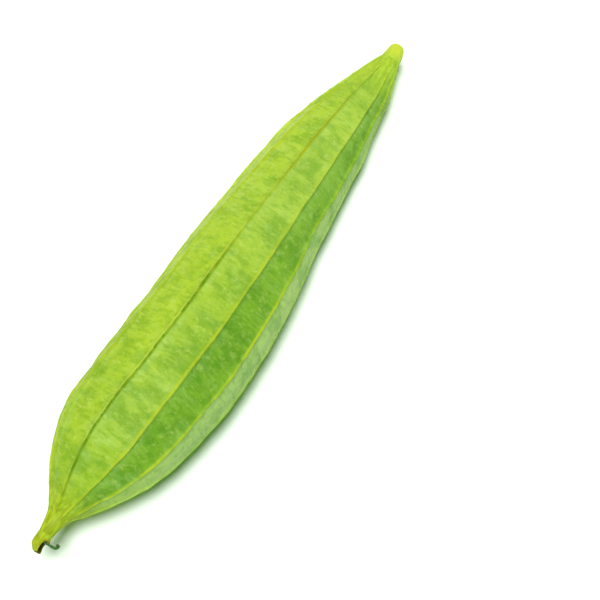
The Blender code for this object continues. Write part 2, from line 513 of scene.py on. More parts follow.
begin(fruit)
ring_x = [on_line(place).x for place in places]
tops, cushions = {i: set() for i in range(RINGS)}, {i: set() for i in range(RINGS)}
for v in bmesh.from_edit_mesh(fruit.data).verts:
    i = min(range(RINGS), key=lambda k: abs(ring_x[k] - v.co.x))
    part = ridge_position(v.co.y, v.co.z, places[i]) % 1
    if min(part, 1 - part) < AT_RIDGE:
        tops[i].add(v.index)
    elif CUSHION[0] < part < CUSHION[1]:
        cushions[i].add(v.index)
for i, place in enumerate(places):
    radius = smooth(RADIUS, place)
    share = ramp(radius, 0.0, FULL_RIDGE_RADIUS)
    pick(fruit, "VERT", lambda v: v.index in tops[i])
    scale_ring(1 + RIDGE_LIFT * share / radius, on_line(place))
    turn(math.degrees(RIDGE_LEAN * share / radius), on_line(place))
    pick(fruit, "VERT", lambda v: v.index in cushions[i])
    scale_ring(1 + PANEL_PUFF, on_line(place))
end()
print("tops and cushions in the beak's ring:", len(tops[0]), len(cushions[0]))

# %% [markdown]
# Each end is closed with two small steps inwards and a face. Subdivision Surface then rounds
# everything off.

# %% Close both ends and round off
END_STEP = 0.4
END_SHRINKS = (0.8, 0.5)

begin(fruit)
for place, outward in ((BEAK_END, -END_STEP), (FRUIT_END, END_STEP)):
    middle = on_line(place)
    pick(fruit, "VERT", lambda v: abs(v.co.x - middle.x) < SAME_RING)
    for shrink in END_SHRINKS:
        bpy.ops.mesh.extrude_region_move(TRANSFORM_OT_translate={"value": (outward * MM, 0, 0)})
        scale_ring(shrink, middle)
    bpy.ops.mesh.edge_face_add()
end()
face_outwards(fruit)
round_off(fruit, 2)
print("rounded:", triangles(fruit), "triangles")

# %% [markdown]
# ### A map of the skin
#
# The pattern of the skin follows the ridges, so the material has to know where each spot lies. A
# UV map holds it: one number says how far round the fruit the spot is, counted in ridges, and the
# other how far from the beak to the stem. A third, kept on each point, is how many millimetres away
# the nearest ridge is.

# %% UV map and ridge distance


def map_the_skin(obj):
    """Stores where each point lies on the skin. Gives its distance from a ridge and its place."""
    spots = []
    for v in obj.data.vertices:
        place = min(max((v.co.x - START_X) / MM, BEAK_END), FRUIT_END)
        spots.append((ridge_position(v.co.y, v.co.z, place), place))
    skin_map = obj.data.uv_layers.new(name="skin")
    for face in obj.data.polygons:
        rounds = [spots[i][0] for i in face.vertices]
        wraps = max(rounds) - min(rounds) > len(RIDGES) / 2
        for corner, i in zip(face.loop_indices, face.vertices):
            around = spots[i][0] + (len(RIDGES) if wraps and spots[i][0] < len(RIDGES) / 2 else 0)
            along = (spots[i][1] - BEAK_END) / (FRUIT_END - BEAK_END)
            skin_map.data[corner].uv = (around / len(RIDGES), along)
    away = []
    for around, place in spots:
        k = int(around) % len(RIDGES)
        span = ridge_angle((k + 1) % len(RIDGES), place) - ridge_angle(k, place)
        share = min(around % 1, 1 - around % 1)
        away.append(share * math.radians(span % 360) * smooth(RADIUS, place))
    from_ridge = obj.data.attributes.new("from_ridge", "FLOAT", "POINT")
    from_ridge.data.foreach_set("value", away)
    return away, [place for _, place in spots]


skin_distances, skin_places = map_the_skin(fruit)
print("mapped", len(fruit.data.vertices), "points")

# %% [markdown]
# Three vertex groups are made from those numbers. They let the next step roughen the crests of the
# ridges, the panels between them and the belly apart from one another.

# %% Vertex groups
CREST_WIDTH = 1.1
BEAK_CALM, STEM_CALM = 8, 262

crests, panels, belly = (fruit.vertex_groups.new(name=name) for name in ("crests", "panels", "belly"))
for i, (distance, place) in enumerate(zip(skin_distances, skin_places)):
    on_crest = math.exp(-((distance / CREST_WIDTH) ** 2))
    crests.add([i], on_crest, "REPLACE")
    panels.add([i], 1 - on_crest, "REPLACE")
    belly.add([i], ramp(place, BEAK_END, BEAK_CALM) * ramp(place, FRUIT_END, STEM_CALM), "REPLACE")
print("groups:", [group.name for group in fruit.vertex_groups])

# %% [markdown]
# ### Grown, not turned
#
# Nothing on a fruit is even. Displace modifiers with cloud textures roughen it at several sizes:
# broad lumps on the belly, wrinkles that run across the panels, and a waver and a fine raggedness
# along the ridges. An empty holds the clouds, and one that is squeezed along the fruit stretches
# them into cross lines.

# %% Lumps, wrinkles and wavering ridges


def clouds(name, depth=2, coloured=False):
    texture = bpy.data.textures.new(name, "CLOUDS")
    texture.noise_scale = 1.0
    texture.noise_depth = depth
    texture.cloud_type = "COLOR" if coloured else "GRAYSCALE"
    return texture


def roughen(obj, texture, sizes, depth, group="", direction="NORMAL", at=(0, 0, 0)):
    """Displaces with clouds of these sizes along X, Y and Z, this deep, all in millimetres."""
    bpy.ops.object.empty_add(location=at)
    grid = bpy.context.object
    grid.scale = [size * MM for size in sizes]
    bpy.context.view_layer.update()
    apply_modifier(
        obj, "DISPLACE", texture=texture, texture_coords="OBJECT", texture_coords_object=grid,
        direction=direction, mid_level=0.5, strength=depth * MM, vertex_group=group,
    )
    bpy.data.objects.remove(grid)


lumps, wrinkles = clouds("lumps"), clouds("wrinkles", depth=1)
waver = clouds("waver", depth=1, coloured=True)
roughen(fruit, lumps, (34, 20, 20), 1.3, group="belly")
roughen(fruit, wrinkles, (4.4, 15, 15), 0.6, group="panels")
roughen(fruit, waver, (16, 16, 16), 1.2, group="crests", direction="RGB_TO_XYZ", at=(3 * MM, 0, 0))
roughen(fruit, wrinkles, (5, 5, 5), 0.5, group="crests", at=(0, 2 * MM, 0))

# What has come to lie below the table is pressed flat onto it
begin(fruit)
flattened = pick(fruit, "VERT", lambda v: v.co.z < 0)
bpy.ops.transform.resize(value=(1, 1, 0), center_override=(0, 0, 0))
end()
shade_smooth(fruit)
print("fruit:", triangles(fruit), "triangles,", flattened, "points rest on the table")

# %% [markdown]
# ## The stub of the stem
#
# The fruit was cut from its vine with a knife, so a short piece of the five-ribbed stem is left. It
# is drawn out of a circle like the body, ring by ring, and every fourth row is pulled out into a
# rib. The cut end is rounded at its edge and sunk in the middle, where the soft pith has dried.

# %% Stub
STUB_RIBS = 5
ROWS_PER_RIB = 4
RIB_SHARE = 0.07
RIB_MIDDLE = 281
RIB_HALF_WIDTH = 2
STUB_RINGS = (
    (275.8, 4.6), (276.6, 5.1), (277.6, 5.05), (279.0, 4.8), (281.0, 4.55), (283.0, 4.25),
    (284.6, 3.8), (285.8, 3.1), (286.4, 2.3), (286.3, 1.5), (285.9, 0.7),
)


def draw_out(name, points, rings):
    """Extrudes a closed circle of points from ring to ring, each (place, radius) in millimetres."""
    bpy.ops.object.select_all(action="DESELECT")
    place, radius = rings[0]
    bpy.ops.mesh.primitive_circle_add(
        vertices=points, radius=radius * MM, location=on_line(place), rotation=(0, math.pi / 2, 0),
        fill_type="NGON",
    )
    piece = bpy.context.object
    piece.name = name
    bpy.ops.object.transform_apply(location=True, rotation=True, scale=True)
    begin(piece)
    bpy.ops.mesh.select_all(action="SELECT")
    for (place, radius), (next_place, next_radius) in zip(rings, rings[1:]):
        bpy.ops.mesh.extrude_region_move(
            TRANSFORM_OT_translate={"value": on_line(next_place) - on_line(place)})
        scale_ring(next_radius / radius, on_line(next_place))
    end()
    face_outwards(piece)
    return piece


def angle_round(point):
    """A point's angle about the centre line, in degrees from straight up to the near side."""
    middle = on_line((point.x - START_X) / MM)
    return math.degrees(math.atan2(middle.y - point.y, point.z - middle.z)) % 360


stub = draw_out("stem_stub", STUB_RIBS * ROWS_PER_RIB, STUB_RINGS)


def on_rib(v):
    from_rib_edge = (angle_round(v.co) + RIB_HALF_WIDTH) % (360 / STUB_RIBS)
    return v.co.x > on_line(FRUIT_END).x and from_rib_edge < 2 * RIB_HALF_WIDTH


begin(stub)
ribs = pick(stub, "VERT", on_rib)
scale_ring(1 + RIB_SHARE, on_line(RIB_MIDDLE))
end()
round_off(stub, 3)
print("stub:", ribs, "points pulled out into ribs,", triangles(stub), "triangles")

# %% [markdown]
# ## The withered calyx
#
# What is left of the flower is a thin papery cup. It has torn down on one side, and the other side
# still stands out past the tip as a long lobe. The cup is closed like the stub, but its rings run up
# the inside, over the rim and down the outside. Three numbers are stored on each point for the
# material: whether it is on the inside, how near the rim it is, and how far the rim is torn back.

# %% Cup
CUP_ROWS = 30
CUP_FLOOR = -11.9
CUP_RINGS = (
    (-11.7, 0.8), (-11.8, 1.7), (-12.0, 2.5), (-12.6, 2.8), (-13.9, 3.0), (-15.2, 3.2),
    (-16.6, 3.35), (-17.9, 3.35), (-18.9, 3.2), (-19.4, 3.15), (-19.5, 3.35), (-19.1, 3.65),
    (-17.9, 3.85), (-16.6, 3.85), (-15.2, 3.7), (-13.9, 3.55), (-12.6, 3.4), (-11.6, 3.3),
    (-10.9, 3.3), (-10.4, 3.1), (-10.2, 2.6),
)
CUP_TIP = min(place for place, _ in CUP_RINGS)
LONG_SIDE = 268.0
LOBE_EDGE, LOBE_FULL = 135, 78
SHORTEST = 0.24
# How many tears round the rim, turned by how many degrees, and how deep
TEARS = ((5, 0, 0.05), (11, 40, 0.035))
CALM_ON_LOBE = 0.6


def rim_reach(angle):
    """How far the rim stands out at this angle, as a share of the long lobe's length."""
    off_centre = abs((angle - LONG_SIDE + 180) % 360 - 180)
    lobe = ramp(off_centre, LOBE_EDGE, LOBE_FULL)
    torn = sum(depth * math.sin(math.radians(count * angle + turned)) for count, turned, depth in TEARS)
    return SHORTEST + (1 - SHORTEST) * lobe + torn * (1 - CALM_ON_LOBE * lobe)


cup = draw_out("calyx_husk", CUP_ROWS, CUP_RINGS)
floor_point = on_line(CUP_FLOOR)
rim_ring = [place for place, _ in CUP_RINGS].index(CUP_TIP)
inner, to_rim, torn_back = [], [], []
for v in cup.data.vertices:
    place = (v.co.x - START_X) / MM
    radius = (v.co - on_line(place)).length / MM
    ring = min(range(len(CUP_RINGS)), key=lambda k: math.dist(CUP_RINGS[k], (place, radius)))
    inner.append(1.0 if ring < rim_ring else 0.0)
    to_rim.append(max(0.0, (CUP_FLOOR - place) / (CUP_FLOOR - CUP_TIP)))
    torn_back.append(1.0 - rim_reach(angle_round(v.co)))
for name, values in (("inside", inner), ("to_rim", to_rim), ("torn_back", torn_back)):
    cup.data.attributes.new(name, "FLOAT", "POINT").data.foreach_set("value", values)
print("cup:", len(cup.data.vertices), "points,", int(sum(inner)), "of them inside")

# %% [markdown]
# Each row of points is stretched along the beak's line by its own amount, far on the long side and
# little on the short, and that tears the rim. Then the tip of the lobe is curled over the cup's
# mouth: what is further out is moved again and again.

# %% Tear the rim and curl the lobe
# Past each of these places the lobe is moved over by that much again, and drops by a share of it
LOBE_CURL = ((-15.8, 0.3), (-16.8, 0.5), (-17.6, 0.6), (-18.3, 0.6), (-18.9, 0.4))
LOBE_DROP = 0.2
# The angle of the circle's first row of points
FIRST_ROW = 270


def in_row(v, angle):
    off = abs((angle_round(v.co) - angle + 180) % 360 - 180)
    return v.co.x < floor_point.x and off < 180 / CUP_ROWS


begin(cup)
for row in range(CUP_ROWS):
    angle = (FIRST_ROW + 360 / CUP_ROWS * row) % 360
    pick(cup, "VERT", lambda v: in_row(v, angle))
    bpy.ops.transform.resize(value=(rim_reach(angle), 1, 1), center_override=floor_point)
for place, over in LOBE_CURL:
    pick(cup, "VERT", lambda v: v.co.x < on_line(place).x)
    bpy.ops.transform.translate(value=(0, -over * MM, -LOBE_DROP * over * MM))
end()
round_off(cup, 2)
print("cup:", triangles(cup), "triangles, rim from",
      [round(rim_reach(angle), 2) for angle in (LONG_SIDE - 180, LONG_SIDE)])

# %% [markdown]
# ## The dried style
#
# The style is the thread that once stood in the flower. It has dried to a curl that hangs over the
# short side of the cup. A path curve with a round bevel makes it in one go. Each point has its own
# thickness, so the thread tapers and swells into a knob. It is then made a mesh, to be roughened.

# %% Curled thread
# Out of the cup, sideways to the near side, up, and the thickness there, all in millimetres
THREAD = (
    (0.6, 0.2, -0.4, 1.4), (2.4, 0.7, 0.0, 1.3), (3.3, 1.7, 0.6, 1.25), (2.9, 3.2, 0.9, 1.2),
    (2.8, 4.9, 0.6, 1.2), (3.0, 6.6, 0.3, 1.3), (2.3, 8.2, 0.2, 1.35), (0.6, 8.1, 0.3, 1.4),
    (1.4, 7.0, 0.6, 1.6),
)
WELD_WITHIN = 0.01 * MM

bpy.ops.object.select_all(action="DESELECT")
bpy.ops.curve.primitive_nurbs_path_add(location=(0, 0, 0))
thread = bpy.context.object
thread.name = "style_curl"
bpy.ops.object.mode_set(mode="EDIT")
bpy.ops.curve.select_all(action="SELECT")
bpy.ops.curve.subdivide(number_cuts=1)
bpy.ops.object.mode_set(mode="OBJECT")
tip = on_line(BEAK_END)
for point, (out, sideways, up, thickness) in zip(thread.data.splines[0].points, THREAD):
    point.co = (*(tip + Vector((-out, -sideways, up)) * MM), 1)
    point.radius = thickness / 2
thread.data.splines[0].use_endpoint_u = True
thread.data.bevel_depth = MM
thread.data.bevel_resolution = 3
thread.data.use_fill_caps = True
bpy.ops.object.convert(target="MESH")
thread = bpy.context.object
begin(thread)
bpy.ops.mesh.select_all(action="SELECT")
bpy.ops.mesh.remove_doubles(threshold=WELD_WITHIN)
end()
face_outwards(thread)
round_off(thread, 1)
print("thread:", triangles(thread), "triangles")

# %% [markdown]
# Dry husk shrinks unevenly and stem dries into cords, so these three are roughened with the same
# kind of clouds as the skin, only much smaller. The cup's veins and the stub's fibres run
# lengthwise, so their clouds are long along the fruit and short across it.

# %% Roughen the small pieces
fibres = clouds("fibres", depth=2)
roughen(stub, fibres, (5.0, 1.1, 1.1), 0.42)
roughen(stub, lumps, (4.0, 3.0, 3.0), 0.35)
roughen(cup, fibres, (5.0, 1.3, 1.3), 0.40)
roughen(cup, lumps, (2.6, 2.2, 2.2), 0.55)
roughen(thread, fibres, (1.2, 0.8, 0.8), 0.22)
for piece in (stub, cup, thread):
    shade_smooth(piece)
print("roughened", [piece.name for piece in (stub, cup, thread)])

# %% [markdown]
# ## Materials
#
# What several finishes share is made once, as a node group with named inputs, and placed in each
# material with that material's own values: the mottling of a plant's skin, its fine lines, and its
# small specks. All of them read the place of each spot in metres, so they keep their real size.

# %% Helpers for groups and materials


def new_group(name, inputs, outputs):
    """An empty node group with these named inputs (and their usual values) and outputs."""
    tree = bpy.data.node_groups.new(name, "ShaderNodeTree")
    for title, usual in inputs.items():
        kind = "NodeSocketVector" if usual is None else "NodeSocketFloat"
        socket = tree.interface.new_socket(name=title, in_out="INPUT", socket_type=kind)
        if usual is not None:
            socket.default_value = usual
    for title in outputs:
        tree.interface.new_socket(name=title, in_out="OUTPUT", socket_type="NodeSocketFloat")
    return tree, tree.nodes.new("NodeGroupInput"), tree.nodes.new("NodeGroupOutput")


def new_material(name, specular):
    """A material: itself, its node tree, its shader and the place of each spot in metres."""
    material = bpy.data.materials.new(name)
    material.use_nodes = True
    tree = material.node_tree
    shader = tree.nodes["Principled BSDF"]
    shader.inputs["Specular IOR Level"].default_value = specular
    return material, tree, shader, add(tree, "TexCoord").outputs["Object"]


def surface(tree, shader, colour, roughness, height, strength, distance):
    """Links a colour, a roughness and a bump, from a height, to the shader."""
    bump = add(tree, "Bump", {"Height": height, "Strength": strength, "Distance": distance})
    tree.links.new(colour, shader.inputs["Base Color"])
    tree.links.new(roughness, shader.inputs["Roughness"])
    tree.links.new(bump.outputs[0], shader.inputs["Normal"])


# %% [markdown]
# Masks do most of the work: a mask is 1 where something shows and 0 where it doesn't. These helpers
# make masks, combine them, and lay one colour over another through a mask.

# %% Helpers for masks and layers
def times(tree, *values):
    product = values[0]
    for value in values[1:]:
        product = maths(tree, "MULTIPLY", product, value)
    return product


def level(tree, mask, without, within):
    """The one value without the mask, and the other within it."""
    return maths(tree, "MULTIPLY_ADD", mask, within - without, without)


def band(tree, value, start, full, fading, gone):
    """A mask that rises from start to full and falls again from fading to gone."""
    return times(tree, fade(tree, value, start, full), fade(tree, value, gone, fading))


def lay(tree, under, over, mask, strength=1.0):
    """Lays one colour over another, at this strength where the mask is full."""
    return blend_colours(tree, mask if strength == 1.0 else times(tree, mask, strength), under, over)


def stretched(tree, vector, along, across):
    """The vector, in metres, divided by these sizes in millimetres along and across the fruit."""
    parts = [maths(tree, "DIVIDE", 1 / MM, size) for size in (along, across, across)]
    sizes = add(tree, "CombineXYZ", dict(enumerate(parts)))
    return add(tree, "VectorMath", {0: vector, 1: sizes.outputs[0]}, operation="MULTIPLY").outputs[0]


def noise(tree, vector, detail, roughness, distortion=0.0):
    made = add(tree, "TexNoise", {"Vector": vector, "Scale": 1.0, "Detail": detail,
                                  "Roughness": roughness, "Distortion": distortion})
    return made.outputs["Fac"]


def cloud_mask(tree, vector, sizes, limits, detail, roughness=0.6):
    """A mask of clouds. Sizes are along and across in millimetres, and limits are none and full."""
    return fade(tree, noise(tree, stretched(tree, vector, *sizes), detail, roughness), *limits)


# %% [markdown]
# Plant skin is never one green. Clouds of deeper green lie under small pale flecks, and both are
# noise: one with large soft shapes, one with small sharp ones. On this fruit both are drawn out
# across the panels, so the group has an input for that. It gives two masks, and each material picks
# the colours that they bring in.

# %% Group: mottling
mottling, given, result = new_group(
    "mottling", {"Vector": None, "Cloud size mm": 12.0, "Fleck size mm": 4.0, "Drawn out": 1.5},
    ("Deep", "Pale"),
)
for title, target, distortion, limits in (
    ("Cloud size mm", "Deep", 0.3, (0.46, 0.62)), ("Fleck size mm", "Pale", 0.5, (0.5, 0.68)),
):
    across = times(mottling, given.outputs[title], given.outputs["Drawn out"])
    spots = stretched(mottling, given.outputs["Vector"], given.outputs[title], across)
    shapes = noise(mottling, spots, 4.0, 0.62, distortion)
    mottling.links.new(fade(mottling, shapes, *limits), result.inputs[target])


def mottle(tree, vector, cloud_size, fleck_size, drawn_out):
    """Places the group, with sizes in millimetres. Gives its two masks, deep and pale."""
    made = add(tree, "Group", {"Vector": vector, "Cloud size mm": cloud_size,
                               "Fleck size mm": fleck_size, "Drawn out": drawn_out}, node_tree=mottling)
    return made.outputs["Deep"], made.outputs["Pale"]


print("group", mottling.name)

# %% [markdown]
# Fine lines come from noise that is stretched: short along one direction and long along the other.
# The same group makes the wrinkles across the fruit's panels and the fibres along its stem.

# %% Group: fine lines
fine_lines, given, result = new_group(
    "fine lines", {"Vector": None, "Along mm": 1.6, "Across mm": 8.0}, ("Height",)
)
spots = stretched(fine_lines, *(given.outputs[title] for title in ("Vector", "Along mm", "Across mm")))
fine_lines.links.new(noise(fine_lines, spots, 1.5, 0.5, 0.35), result.inputs["Height"])


def lines(tree, vector, along, across):
    """Places the group, with sizes in millimetres. Gives the height of the lines."""
    inputs = {"Vector": vector, "Along mm": along, "Across mm": across}
    return add(tree, "Group", inputs, node_tree=fine_lines).outputs["Height"]


print("group", fine_lines.name)

# %% [markdown]
# Specks are small, scattered and of many sizes. Voronoi cells have one point each, and a speck is
# drawn round that point. The cell's own random colour decides whether it gets one, and how big.

# %% Group: specks
specks, given, result = new_group(
    "specks", {"Vector": None, "Spacing mm": 5.0, "Size": 0.2, "Share": 0.4}, ("Mask",)
)
spacing = given.outputs["Spacing mm"]
spots = stretched(specks, given.outputs["Vector"], spacing, spacing)
cells = add(specks, "TexVoronoi", {"Vector": spots, "Scale": 1.0})
luck = add(specks, "SeparateXYZ", {0: cells.outputs["Color"]}).outputs
chosen = maths(specks, "LESS_THAN", luck[0], given.outputs["Share"])
reach = times(specks, given.outputs["Size"], level(specks, luck[1], 0.4, 1.2))
dot = fade(specks, maths(specks, "DIVIDE", cells.outputs["Distance"], reach), 1.0, 0.5)
specks.links.new(times(specks, dot, chosen), result.inputs["Mask"])


def speckle(tree, vector, spacing, size, share):
    """Places the group, with the spacing in millimetres. Gives its mask."""
    inputs = {"Vector": vector, "Spacing mm": spacing, "Size": size, "Share": share}
    return add(tree, "Group", inputs, node_tree=specks).outputs["Mask"]


print("group", specks.name)

# %% [markdown]
# ### The skin
#
# Each panel has its own green, partly because a hanging fruit has a sunny side and a shaded one,
# and partly as painted light: the panel that lies furthest back is painted brighter, as if lit, the
# fourth is painted darker as shade on top of its deeper green, and the fifth is painted a pale
# grey-green that stands for the white card's reflection. A colour ramp round the fruit holds the ten
# tints and changes at the ridges. Its alpha says how much that panel pales towards the stem. A second
# ramp does the same for the ridges. Its colours are the crests, from bright yellow-green to olive,
# and its alpha says how dark the painted shade along the foot of that ridge is. Both begin at the
# ridge that lies furthest back, like the table of ridges.

# %% Colours round the fruit
# The panel tints are partly the skin's own greens and partly painted light: a brighter back panel,
# painted shade on the fourth, and a painted reflection of the card on the fifth.
PANEL_TINTS_AND_PAINTED_LIGHT = (
    (0.470, 0.600, 0.030, 1.0), (0.381, 0.502, 0.027, 0.4), (0.348, 0.470, 0.031, 0.9),
    (0.211, 0.372, 0.023, 0.2), (0.480, 0.595, 0.175, 1.0), (0.320, 0.464, 0.030, 0.6),
    (0.290, 0.428, 0.020, 0.3), (0.350, 0.491, 0.035, 0.6), (0.310, 0.455, 0.025, 0.4),
    (0.355, 0.495, 0.030, 1.0),
)
# Each alpha is the strength of the painted shade along that ridge's foot.
CREST_TINTS_AND_FOOT_SHADE = (
    (0.500, 0.546, 0.030, 0.3), (0.489, 0.510, 0.015, 0.4), (0.512, 0.600, 0.045, 1.0),
    (0.436, 0.490, 0.020, 0.1), (0.456, 0.501, 0.016, 0.1), (0.300, 0.410, 0.040, 0.3),
    (0.467, 0.510, 0.020, 0.5), (0.489, 0.546, 0.020, 0.3), (0.445, 0.473, 0.015, 0.6),
    (0.511, 0.564, 0.020, 0.3),
)
HALF_PANEL = 0.5 / len(RIDGES)


def colours_round(tree, fraction, tints):
    """A ramp with one plain step for each of the tints. Gives its colour and its alpha."""
    made = add(tree, "ValToRGB", {"Fac": fraction})
    made.color_ramp.interpolation = "CONSTANT"
    stops = made.color_ramp.elements
    while len(stops) < len(tints):
        stops.new(len(stops) / len(tints))
    for k, tint in enumerate(tints):
        stops[k].position = k / len(tints)
        stops[k].color = tint
    return made.outputs["Color"], made.outputs["Alpha"]


skin, tree, shader, position = new_material("gourd_skin", specular=0.11)
around, along, _ = add(tree, "SeparateXYZ", {0: add(tree, "UVMap", uv_map="skin").outputs[0]}).outputs
from_ridge = add(tree, "Attribute", attribute_name="from_ridge").outputs["Fac"]
panel_green, panel_paling = colours_round(tree, around, PANEL_TINTS_AND_PAINTED_LIGHT)
nearest_ridge = maths(tree, "FRACT", maths(tree, "ADD", around, HALF_PANEL))
crest_colour, foot_shade_strength = colours_round(tree, nearest_ridge, CREST_TINTS_AND_FOOT_SHADE)
print("tints for", len(PANEL_TINTS_AND_PAINTED_LIGHT), "panels and", len(CREST_TINTS_AND_FOOT_SHADE), "ridges")

# %% [markdown]
# The rest is laid over that in thin layers. The panels turn paler towards the stem and deeper in
# broad patches, and at the shoulder they are painted deeper as shade. Then come the mottles, in a
# deeper and a paler kind of each panel's own green, and a faint frost. One panel is yellowed where
# it runs into the beak.

# %% Panels: patches, mottles and frost
# The clouds are cut out of their endless pattern at this place, in metres
CLOUD_SHIFT = (37 * MM, 0, 0)
DEEPENING = (0.50, 0.68, 0.50, 1)
PALE = (0.67, 0.73, 0.22, 1)
FROST = (0.45, 0.64, 0.23, 1)
YELLOWED = (0.44, 0.57, 0.045, 1)
PALE_SHARE = 0.40


def deepened(colour):
    return blend_colours(tree, 1.0, colour, DEEPENING, "MULTIPLY")


shifted = add(tree, "VectorMath", {0: position, 1: CLOUD_SHIFT}, operation="SUBTRACT").outputs[0]
deep, pale = mottle(tree, shifted, 10.0, 2.6, 1.6)
at_shoulder, to_stem = fade(tree, along, 0.22, 0.08), fade(tree, along, 0.42, 0.62)
panel_green = lay(tree, panel_green, PALE, times(tree, to_stem, panel_paling), 0.16)
patches = cloud_mask(tree, shifted, (45.0, 60.0), (0.42, 0.60), 2.0, 0.5)
# Deeper at the shoulder is painted shade; the broad patches are the skin's own uneven tone.
painted_shade_and_patches = maths(tree, "MAXIMUM", times(tree, at_shoulder, 0.25), times(tree, patches, 0.22))
panel_green = lay(tree, panel_green, deepened(panel_green), painted_shade_and_patches)
deep_green = deepened(panel_green)
pale_green = blend_colours(tree, PALE_SHARE, panel_green, PALE)
green = lay(tree, panel_green, deep_green, deep, 0.66)
green = lay(tree, green, pale_green, pale, 0.48)
frost = cloud_mask(tree, shifted, (7.0, 10.0), (0.47, 0.66), 4.0)
green = lay(tree, green, FROST, times(tree, frost, level(tree, at_shoulder, 0.10, 0.24)))
# The fifth panel lies from 0.4 to 0.5 of the way round
near_panel = band(tree, around, 0.395, 0.405, 0.495, 0.505)
green = lay(tree, green, YELLOWED, times(tree, near_panel, at_shoulder), 0.55)
print("panels:", len(tree.nodes), "nodes so far")

# %% [markdown]
# Seen closer, fine creases run across the panels, darkened in their lows partly as the skin's own
# stripes and partly as painted shade, with a paler green between them. Over them lie a finer grain,
# which is the mottling again at a third of its size, and the pores.

# %% Panels: creases, grain and pores
cross_lines = lines(tree, position, 1.5, 6.5)
# The creases' dark lows are partly the skin's stripes and partly painted shade.
green = lay(tree, green, deep_green, fade(tree, cross_lines, 0.46, 0.34), 0.38)
green = lay(tree, green, pale_green, fade(tree, cross_lines, 0.50, 0.68), 0.10)
grain_deep, grain_pale = mottle(tree, position, 3.2, 1.1, 1.2)
green = lay(tree, green, deep_green, grain_deep, 0.24)
green = lay(tree, green, pale_green, grain_pale, 0.19)
pores = speckle(tree, position, 2.4, 0.22, 0.5)
green = lay(tree, green, deep_green, pores, 0.35)
print("panels:", len(tree.nodes), "nodes so far")

# %% [markdown]
# Along its foot, on the side of the next ridge, each ridge has a thin dark line of painted shade,
# where the keel shades its own foot. To find that side, a mask asks whether a spot lies just past its
# nearest ridge or just before it. Clouds break the line into dashes. Halfway along the fruit it is
# fainter, and from there to the stem it is an olive-brown line of the skin's own colour. A pale
# painted sheen lies just outside it.

# %% Ridges: painted sheen and painted shade at the foot
PAINTED_SHEEN = (0.458, 0.60, 0.24, 1)
FOOT_SHADE = (0.136, 0.235, 0.003, 1)
FOOT_BROWN = (0.365, 0.385, 0.011, 1)

# How far past its nearest ridge a spot is, as a share of a panel: below 0 it is before the ridge
ridges_round = times(tree, around, float(len(RIDGES)))
past_ridge = maths(tree, "SUBTRACT", maths(tree, "FRACT", maths(tree, "ADD", ridges_round, 0.5)), 0.5)
next_side = fade(tree, past_ridge, -0.005, 0.01)
broken = cloud_mask(tree, position, (12.0, 12.0), (0.34, 0.58), 3.0)
dashes = cloud_mask(tree, position, (5.0, 5.0), (0.44, 0.60), 3.0)
upper = fade(tree, along, 0.46, 0.66)

# A faint pale band beside each ridge's foot is painted sheen.
sheen_beside_foot = times(tree, band(tree, from_ridge, 0.9, 1.8, 2.2, 5.5), next_side, broken)
colour = lay(tree, green, PAINTED_SHEEN, sheen_beside_foot, 0.10)
# The foot's dark line is painted shade; towards the stem it turns to the skin's own olive-brown.
foot_shade_and_brown = times(tree, band(tree, from_ridge, 0.1, 0.3, 0.8, 1.7), foot_shade_strength)
foot_shade_and_brown = times(tree, foot_shade_and_brown, level(tree, band(tree, along, 0.46, 0.56, 0.63, 0.70), 1.0, 0.4))
foot_shade_and_brown = times(tree, foot_shade_and_brown, fade(tree, along, 0.92, 0.82), level(tree, next_side, 0.1, 1.0))
foot_shade_and_brown = times(tree, foot_shade_and_brown, level(tree, dashes, 0.65, 1.0))
colour = lay(tree, colour, blend_colours(tree, upper, FOOT_SHADE, FOOT_BROWN), foot_shade_and_brown)
print("ridges:", len(tree.nodes), "nodes so far")

# %% [markdown]
# The crest itself is bright where it isn't worn, and it is worn most towards the stem. Dry streaks
# sit on it, just past the ridge.

# %% Ridges: crests and dry streaks
DRIED = (0.32, 0.33, 0.009, 1)

crest = times(tree, fade(tree, from_ridge, 1.25, 0.25), level(tree, broken, 0.3, 0.85))
crest = times(tree, crest, level(tree, dashes, 1.0, 0.7), level(tree, at_shoulder, 1.0, 0.55))
crest = times(tree, crest, level(tree, upper, 1.0, 0.28), level(tree, foot_shade_and_brown, 1.0, 0.0))
colour = lay(tree, colour, crest_colour, crest)
streaks = cloud_mask(tree, position, (4.0, 4.0), (0.51, 0.61), 4.0, 0.65)
streaks = times(tree, streaks, fade(tree, from_ridge, 1.1, 0.6), fade(tree, past_ridge, -0.012, 0.004))
streaks = times(tree, streaks, band(tree, along, 0.16, 0.30, 0.75, 0.95))
colour = lay(tree, colour, DRIED, streaks, 0.50)
print("ridges:", len(tree.nodes), "nodes so far")

# %% [markdown]
# Both ends turn yellow-green, and the fibres under the skin show there as olive cords. The creases
# and the pores also give a bump that roughens the light. The wrinkles at the outline are in the mesh.

# %% Both ends, and the skin's surface
END_GREEN = (0.405, 0.490, 0.018, 1)
END_OLIVE = (0.207, 0.24, 0.004, 1)
STEM_GREEN = (0.450, 0.57, 0.038, 1)

cords = fade(tree, lines(tree, position, 14.0, 1.5), 0.44, 0.58)
beak_colour = lay(tree, END_GREEN, END_OLIVE, cords, 0.6)
beak_colour = lay(tree, beak_colour, END_OLIVE, deep, 0.3)
colour = lay(tree, colour, beak_colour, fade(tree, along, 0.10, 0.02), 0.95)
stem_colour = lay(tree, STEM_GREEN, END_OLIVE, cords, 0.38)
colour = lay(tree, colour, stem_colour, fade(tree, along, 0.86, 0.99), 0.8)

